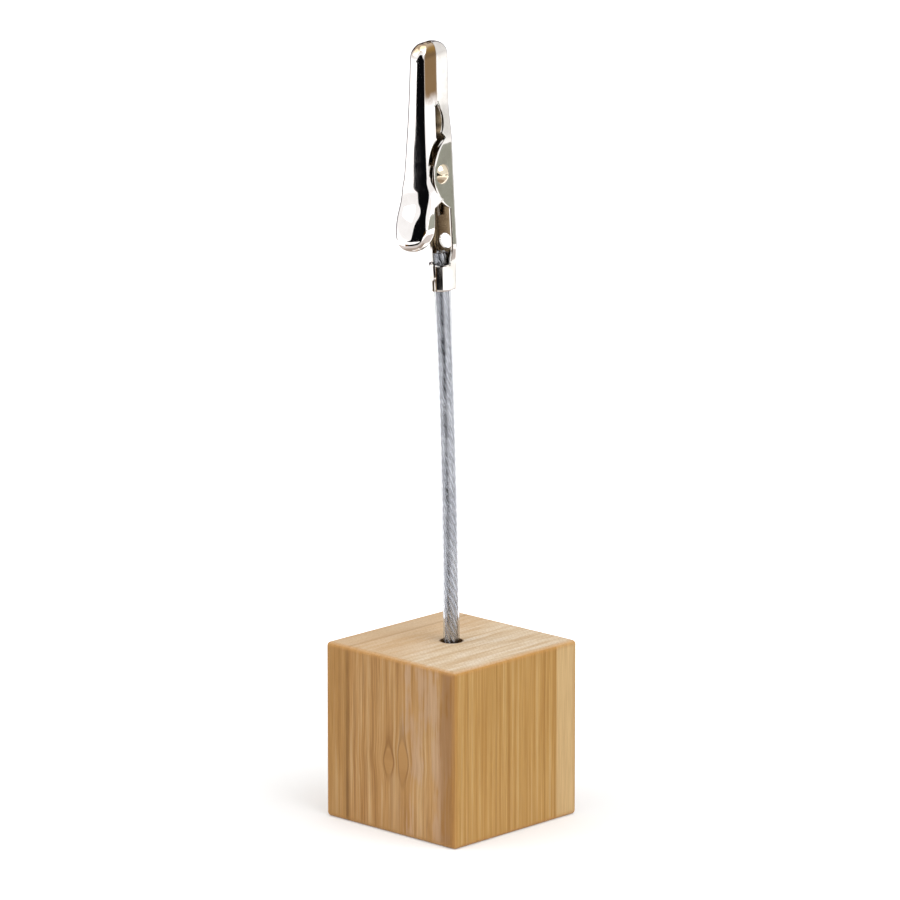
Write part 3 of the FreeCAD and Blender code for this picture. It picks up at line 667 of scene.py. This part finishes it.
def nose_edge(gap):
    """Points of a jaw's free edge where the jaws meet, closer together round the nose."""
    places = [MEET_START + EDGE_STEP * step for step in range(1, 26)]
    places += [NOSE_START + NOSE_ROUND * math.sin(math.radians(turn)) for turn in range(6, 91, 6)]
    return [(along, meeting_line(along) + gap) for along in places]


def nose_share(along):
    return (along - NOSE_START) / NOSE_ROUND


def nose_half(along):
    return rounded(NOSE_HALF, 0.6, nose_share(along))


# Lever

def lever_edge():
    """The lever's free edge from thumb pad to nose, as (along, height) points."""
    pad_height, scallop_start, scallop_end = 4.73, (16.3, 2.35), (26.3, 2.35)
    points = arc_between((PAD_END, 6.4), (PAD_START, pad_height), 5.0, 14, -1)
    points += [(PAD_START + EDGE_STEP * step, pad_height) for step in range(1, 13)]
    points += [(15.3, pad_height), (15.5, 4.28), (15.75, 3.7), (16.0, 3.08), scallop_start]
    points += arc_between(scallop_start, scallop_end, 5.7, 40, 1)[1:]
    points += [(26.4, 2.41), (26.5, 2.47), (26.6, 2.51), (26.7, 2.54)]
    points += [(26.7 + EDGE_STEP * step, 2.54 - 0.41 * step / 17) for step in range(1, 17)]
    points += [(31.8, 2.13), (31.93, 1.95), (32.06, 1.7), (MEET_START, 1.49)]
    return points + nose_edge(MEET_GAP)


def lever():
    """The lever jaw: thumb pad, scalloped sides and upper nose."""
    pad_back = NOSE_BACK + 0.1 * (NOSE_START - PAD_START) + 0.65
    pad_round_start, pad_round = 12.4, 4.2
    lift_start, lift_length = 18.5, 8.5
    body_half = monotone(
        (PAD_START, 3.3), (14.0, 3.24), (16.8, 3.06), (18.3, 2.96), (PIVOT_ALONG, 2.55), (26.0, 2.15),
        (MEET_START, 1.85), (NOSE_START, NOSE_HALF),
    )
    body_back = monotone(
        (PAD_START, pad_back), (13.5, 7.72), (16.3, 6.98), (PIVOT_ALONG, 6.49), (26.2, 5.92),
        (MEET_START, 5.3), (NOSE_START, NOSE_BACK),
    )
    bend = monotone((PAD_END, 0.8), (PAD_START, 1.1), (20.0, 1.0), (30.0, 1.15), (CLIP_LENGTH, 1.0))
    crown = monotone((PAD_END, 26.0), (14.0, 25.0), (20.0, 22.0), (CLIP_LENGTH, 21.0))

    def half(along):
        if along < pad_round_start:
            return rounded(body_half(pad_round_start), 0.7, (pad_round_start - along) / pad_round)
        return nose_half(along) if along > NOSE_START else body_half(along)

    def back(along):
        if along < PAD_START:
            share = (PAD_START - along) / (PAD_START - PAD_END)
            return pad_back + 0.45 * share - 1.6 * (1 - math.sqrt(max(0.0, 1 - share ** 5)))
        return rounded(NOSE_BACK, 2.34, nose_share(along)) if along > NOSE_START else body_back(along)

    def lift(along):
        """The thumb pad rises toward its end."""
        share = min(max((lift_start - along) / lift_length, 0.0), 1.0)
        return PAD_LIFT * share ** 2 * (3 - 2 * share)

    rows = channel_rows(lever_edge(), half, back, bend, crown, 1)
    rows = [[(p + lift(along), q, along) for p, q, along in row] for row in rows]
    obj = from_rows("LeverShell", close_end(close_end(rows, at_start=True)), to_world=CLIP_M)
    weld(obj)
    dress(obj, "painted_reflection", "shaded_inside")
    thicken(obj, CLIP_M @ Vector((0.05, 0, 0.025)))
    return smooth(obj)


def lug(name, near, far):
    """One of the two plates that hang the lever on its rivet."""
    lug_round, lug_top = 1.9, 5.6
    outline = []
    for step in range(25):
        angle = math.radians(180) * step / 24
        down, forward = lug_round * math.sin(angle), lug_round * math.cos(angle)
        outline.append((PIVOT_HEIGHT - down, PIVOT_ALONG + forward))
    outline += [(lug_top, PIVOT_ALONG - lug_round), (lug_top, PIVOT_ALONG + lug_round)]
    mesh = bpy.data.meshes.new(name)
    work = bmesh.new()
    face = work.faces.new([work.verts.new((p * MM, near * MM, r * MM)) for p, r in outline])
    grown = bmesh.ops.extrude_face_region(work, geom=[face])["geom"]
    raised = [part for part in grown if isinstance(part, bmesh.types.BMVert)]
    bmesh.ops.translate(work, vec=(0, (far - near) * MM, 0), verts=raised)
    bmesh.ops.recalc_face_normals(work, faces=work.faces)
    work.to_mesh(mesh)
    work.free()
    mesh.transform(CLIP_M)
    obj = link(name, mesh)
    dress(obj, "nickel")
    soften(obj, 0.05)
    return smooth(apply_modifiers(obj))


# Lower jaw

def lower_edge():
    """The lower jaw's free edge from crimp to nose."""
    points = [(EDGE_STEP * step, 0.0) for step in range(16)]
    points += [(5.0, 0.2 * TAIL_WALL), (5.6, 0.5 * TAIL_WALL), (6.2, 0.8 * TAIL_WALL), (6.65, TAIL_WALL)]
    points += [(6.65 + 0.35 * step, TAIL_WALL) for step in range(1, 21)]
    points += arc_between((14.125, TAIL_WALL), (26.24, 0.35), 6.7, 48, 1)
    points += [(26.45, 0.52), (26.7, 0.73), (26.95, 0.94), (27.2, 1.15)]
    points += arc_between((27.2, 1.15), (MEET_START, 1.42), 3.39, 26, -1)[1:]
    return points + nose_edge(-MEET_GAP)


def crimp_tab(name, sign, places, half):
    """A tab of the crimp, which goes on from the low wall and folds over the stem."""
    fold = 1.71
    rows = []
    for along in places:
        side = [((CRIMP_TOP - fold) * step / 3, half(along)) for step in range(4)]
        for step in range(1, 13):
            angle = math.radians(90) * step / 12
            p, q = CRIMP_TOP - fold + fold * math.sin(angle), half(along) - fold + fold * math.cos(angle)
            side.append((p, q))
        side.append((CRIMP_TOP, 0.2))
        rows.append([(p, sign * q, along) for p, q in side])
    return from_rows(name, rows, to_world=CLIP_M)


def cut_tail_hole(obj):
    hole = bpy.data.meshes.new("TailHoleCutter")
    radius = HOLE_RADIUS * MM
    work = bmesh.new()
    bmesh.ops.create_cone(work, cap_ends=True, segments=96, radius1=radius, radius2=radius, depth=3 * MM)
    work.to_mesh(hole)
    work.free()
    place = Matrix.Translation((FLOOR * MM, 0, HOLE_ALONG * MM))
    hole.transform(CLIP_M @ place @ Matrix.Rotation(math.radians(90), 4, "Y"))
    cutter = link("TailHoleCutter", hole)
    cut = obj.modifiers.new("hole", "BOOLEAN")
    cut.object = cutter
    cut.operation = "DIFFERENCE"
    cut.solver = "EXACT"
    apply_modifiers(obj)
    bpy.data.objects.remove(cutter)


def lower():
    """The lower jaw: crimp, tail with its hole, two ears and lower nose."""
    body_half = monotone(
        (0.0, 1.85), (CRIMP_LENGTH, 2.0), (HOLE_ALONG, 2.55), (14.3, EAR_HALF), (25.0, EAR_HALF),
        (MEET_START, 1.7), (NOSE_START, NOSE_HALF),
    )
    body_back = monotone((0.0, FLOOR), (25.0, FLOOR), (MEET_START, FLOOR - 0.41), (NOSE_START, NOSE_FLOOR))
    tip_back = meeting_line(CLIP_LENGTH) - 1.0
    bend = monotone(
        (0.0, 0.65), (CRIMP_LENGTH, 0.65), (HOLE_ALONG, 1.0), (25.0, 1.0), (MEET_START, 0.8),
        (CLIP_LENGTH, 0.7),
    )
    crown = monotone((0.0, 4.0), (7.0, 4.0), (14.0, 6.0), (26.0, 8.0), (32.0, 16.0), (CLIP_LENGTH, 16.0))

    def half(along):
        return nose_half(along) if along > NOSE_START else body_half(along)

    def back(along):
        return rounded(NOSE_FLOOR, tip_back, nose_share(along)) if along > NOSE_START else body_back(along)

    edge = lower_edge()
    obj = from_rows("LowerShell", close_end(channel_rows(edge, half, back, bend, crown, -1)), to_world=CLIP_M)
    weld(obj)
    dress(obj, "nickel", "shaded_inside")
    crimp_places = [along for along, height in edge if along <= CRIMP_LENGTH]
    for name, sign in (("TabRight", 1), ("TabLeft", -1)):
        join(obj, crimp_tab(name, sign, crimp_places, body_half))
    weld(obj, 0.003)
    thicken(obj, CLIP_M @ Vector((-0.05, 0, 0.025)))
    cut_tail_hole(obj)
    return smooth(obj)


# Rivet

def rivet():
    """Turned rivet with domed heads; a fine step where each head meets its ear."""
    head, rise, shank = 1.65, 0.75, 0.8
    dome = (head ** 2 + rise ** 2) / (2 * rise)
    profile = []
    for step in range(17):
        angle = math.asin(head / dome) * step / 16
        profile.append((dome * math.sin(angle), EAR_HALF + rise - dome * (1 - math.cos(angle))))
    profile += [(head - 0.04, EAR_HALF), (shank, EAR_HALF), (shank, 0.0)]
    profile += [(radius, -height) for radius, height in reversed(profile[:-1])]
    rows = []
    for radius, height in profile:
        out = max(radius, 0.0005)
        rows.append([(PIVOT_HEIGHT + out * c, height, PIVOT_ALONG + out * s) for c, s in round_points(72)])
    obj = from_rows("RivetBody", rows, True, CLIP_M)
    weld(obj)
    dress(obj, "rivet")
    return smooth(obj, 40)


# Stem

STEM_START = -BORE_DEPTH
STEM_END = STEM_RISE + STEM_IN_CLIP
ACROSS = Vector((0, 1, 0))


def stem_places(spacing):
    """Evenly spaced places along the whole stem, at most a spacing apart."""
    count = math.ceil((STEM_END - STEM_START) / spacing)
    return [STEM_START + (STEM_END - STEM_START) * index / count for index in range(count + 1)]


def strand_ring(work, along, start_turn, offset, radius, lay, around):
    """Points round a strand where it passes a place along the stem."""
    point, direction = stem_frame(along)
    side = aside(direction)
    turn = -2 * math.pi * along / lay + start_turn
    out = side * math.cos(turn) + ACROSS * math.sin(turn)
    round_way = -side * math.sin(turn) + ACROSS * math.cos(turn)
    lean = math.atan2(-2 * math.pi * offset, lay)
    along_way = direction * math.cos(lean) + round_way * math.sin(lean)
    flank = out.cross(along_way).normalized()
    centre = point + out * offset
    return [work.verts.new((centre + (out * c + flank * s) * radius) * MM) for c, s in round_points(around)]


def rope():
    """Six strands laid left-handed, which show as shallow ridges on a round core; UV runs round
    and along each strand."""
    lay, strand, core, around, spacing = 9.7, 0.25, 0.715, 14, 0.3
    uv_round, uv_along = 0.6, 0.35 * spacing
    mesh = bpy.data.meshes.new("RopeStrands")
    work = bmesh.new()
    uv = work.loops.layers.uv.new("strand")
    strands = [(number * math.pi / 3, ROPE_RADIUS - strand, strand) for number in range(6)]
    for start_turn, offset, radius in strands + [(2 * math.pi, 0.0, core)]:
        shape = (start_turn, offset, radius, lay, around)
        rings = [strand_ring(work, along, *shape) for along in stem_places(spacing)]
        for index, (ring, following) in enumerate(zip(rings, rings[1:])):
            for k in range(around):
                after = (k + 1) % around
                face = work.faces.new((ring[k], ring[after], following[after], following[k]))
                corners = ((index, k), (index, k + 1), (index + 1, k + 1), (index + 1, k))
                for loop, (row, column) in zip(face.loops, corners):
                    loop[uv].uv = (column * uv_round, row * uv_along)
        work.faces.new(list(reversed(rings[0])))
        work.faces.new(rings[-1])
    bmesh.ops.recalc_face_normals(work, faces=work.faces)
    work.to_mesh(mesh)
    work.free()
    mesh.transform(STEM_M)
    obj = link("RopeStrands", mesh)
    dress(obj, "rope")
    return smooth(obj, 50)


def sleeve():
    """The clear sleeve, drawn over the rope without a gap."""
    rows = []
    for along in stem_places(1.0):
        point, direction = stem_frame(along)
        side = aside(direction)
        rows.append([point + (side * c + ACROSS * s) * SLEEVE_RADIUS for c, s in round_points(48)])
    obj = from_rows("ClearSleeve", rows, True, STEM_M)
    work = bmesh.new()
    work.from_mesh(obj.data)
    bmesh.ops.holes_fill(work, edges=[edge for edge in work.edges if edge.is_boundary], sides=0)
    bmesh.ops.recalc_face_normals(work, faces=work.faces)
    work.to_mesh(obj.data)
    work.free()
    dress(obj, "sleeve")
    return smooth(obj, 50)


# Pieces

def place(obj, body, slot, *replaced):
    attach(obj, body)
    if replaced:
        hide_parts(*replaced)


place(lever(), "lever", "nickel_plate", "lever_jaw")
place(lower(), "holder", "nickel_plate", "lower_jaw")
place(lug("LugRight", 1.4, 1.85), "lever", "nickel_plate")
place(lug("LugLeft", -1.85, -1.4), "lever", "nickel_plate")
place(rivet(), "holder", "rivet_nickel", "pivot_rivet")
place(rope(), "holder", "steel_rope", "wire_rope")
place(sleeve(), "holder", "clear_sleeve", "stem_sleeve")
for name, key in (("base_block", "bamboo"), ("stem_adhesive", "adhesive"), ("torsion_spring", "spring")):
    dress(nodes[name], key)
    smooth(nodes[name], 30)


# Stage

WHITE = (1, 1, 1, 1)
PAPER = (0.8, 0.8, 0.8, 1)
WORLD_LIGHT = 0.5


def stage_floor():
    """A white floor that keeps the object's shadow; it glows less near the object."""
    reach = 4.0
    corners = [(-reach, -reach, 0), (reach, -reach, 0), (reach, reach, 0), (-reach, reach, 0)]
    mesh = bpy.data.meshes.new("Floor")
    mesh.from_pydata(corners, [], [(0, 1, 2, 3)])
    floor = link("Floor", mesh)
    s = Shader("floor_white")
    away = s.vector("LENGTH", s.add("ShaderNodeTexCoord").outputs["Object"])[1]
    level = s.times(s.seen(), s.step(away, 0.03, 0.13, 0.2, 0.6))
    both = s.add("ShaderNodeAddShader")
    s.put(both, 0, s.add("ShaderNodeBsdfDiffuse", {"Color": PAPER}).outputs[0])
    s.put(both, 1, s.add("ShaderNodeEmission", {"Color": WHITE, "Strength": level}).outputs[0])
    mesh.materials.append(s.show(both))


def stage_world():
    """White to look at, dimmer as light on the object."""
    world = bpy.data.worlds.new("Studio")
    bpy.context.scene.world = world
    world.use_nodes = True
    s = Nodes(world.node_tree)
    level = s.add("ShaderNodeMapRange", {"Value": s.seen(), "To Min": WORLD_LIGHT, "To Max": 1.0})
    s.put(s.nodes["Background"], "Color", WHITE)
    s.put(s.nodes["Background"], "Strength", level.outputs[0])


def aim_at(obj, target, azimuth, elevation, distance):
    """Places a lamp or the camera at an azimuth, counted from -Y toward +X, and turns it to the target."""
    a, e = math.radians(azimuth), math.radians(elevation)
    out = Vector((math.sin(a) * math.cos(e), -math.cos(a) * math.cos(e), math.sin(e)))
    obj.location = target + out * distance
    obj.rotation_mode = "QUATERNION"
    obj.rotation_quaternion = out.to_track_quat("Z", "Y")


def lamp(name, azimuth, elevation, distance, size, power):
    """A square area lamp that looks at the object."""
    data = bpy.data.lights.new(name, "AREA")
    data.shape = "RECTANGLE"
    data.size, data.size_y = size, size
    data.energy = power
    aim_at(link(name, data), Vector((0, 0, 0.06)), azimuth, elevation, distance)


def board(name, colour, outline, through=("glossy", "transmission")):
    """A studio board curved round the object, which only polished and clear surfaces see; outline
    rows are distance and height in mm, then the azimuths of its left and right edge."""
    steps = 24
    rows = []
    for distance, height, left, right in outline:
        turns = [math.radians(left + (right - left) * step / steps) for step in range(steps + 1)]
        rows.append([(math.sin(turn) * distance, -math.cos(turn) * distance, height) for turn in turns])
    obj = from_rows(name, rows)
    s = Shader(name + "_paper")
    obj.data.materials.append(s.show(s.add("ShaderNodeEmission", {"Color": srgb(colour), "Strength": 1.0})))
    for kind in ("camera", "diffuse", "glossy", "transmission", "volume_scatter", "shadow"):
        setattr(obj, "visible_" + kind, kind in through)


def camera():
    """The photograph's long lens, a little above the object."""
    azimuth, pitch, distance = 43.51, 13.30, 1.08765
    aim_height, aim_shift = 0.06349, -0.000246
    data = bpy.data.cameras.new("Camera")
    data.sensor_width = 36.0
    data.lens = 260.0
    data.clip_start, data.clip_end = 0.05, 20.0
    right = Vector((math.cos(math.radians(azimuth)), math.sin(math.radians(azimuth)), 0))
    obj = link("Camera", data)
    aim_at(obj, Vector((0, 0, aim_height)) + right * aim_shift, azimuth, pitch, distance)
    bpy.context.scene.camera = obj


stage_floor()
stage_world()
lamp("Key", 95, 48, 1.2, 0.9, 7.0)
lamp("Fill", -40, 35, 1.3, 1.0, 4.1)
lamp("Top", 20, 85, 1.2, 1.0, 5.4)
board("CardFront", "0a0a0c", (
    (400, 1, 30, 62), (400, 30, 15, 66), (400, 46, 2, 70), (400, 50, -14, 74), (400, 54, -30, 78),
    (400, 60, -28, 80), (400, 66, -23, 84), (400, 72, -19, 84), (400, 80, -14, 84), (400, 95, -12, 80),
    (400, 120, -11, 74), (400, 150, -9, 66), (400, 186, -6, 60), (400, 260, 0, 52), (400, 350, 6, 50),
))
board("CardFloor", "0e0d0e", ((240, 1, -20, 50), (400, 1, -28, 60)))
board("CardFringe", "6e4c22", ((240, 1.5, -38, -20), (400, 1.5, -38, -28)))
board("CardFoot", "aa9c90", ((40, 1, -170, 170), (120, 1, -170, 170)), ("glossy",))
board("CardNear", "dad2ce", ((120, 1, -170, 170), (238, 1, -170, 170)), ("glossy",))
board("CardGold", "5e4316", ((395, 1, 60, 96), (395, 45, 64, 100), (395, 60, 78, 104)))
board("CardStem", "101014", ((110, 2, -42, 22), (420, 2, -42, 22)), ("transmission",))
board("CardLeft", "6f656b", ((400, 1, -140, -80), (400, 400, -140, -80)))
board("CardRight", "a9ab9f", ((400, 1, 128, 166), (400, 52, 128, 166)))
board("CardBack", "77757a", ((400, 1, 182, 222), (400, 400, 182, 222)))
camera()
bpy.context.scene.view_settings.view_transform = "Standard"
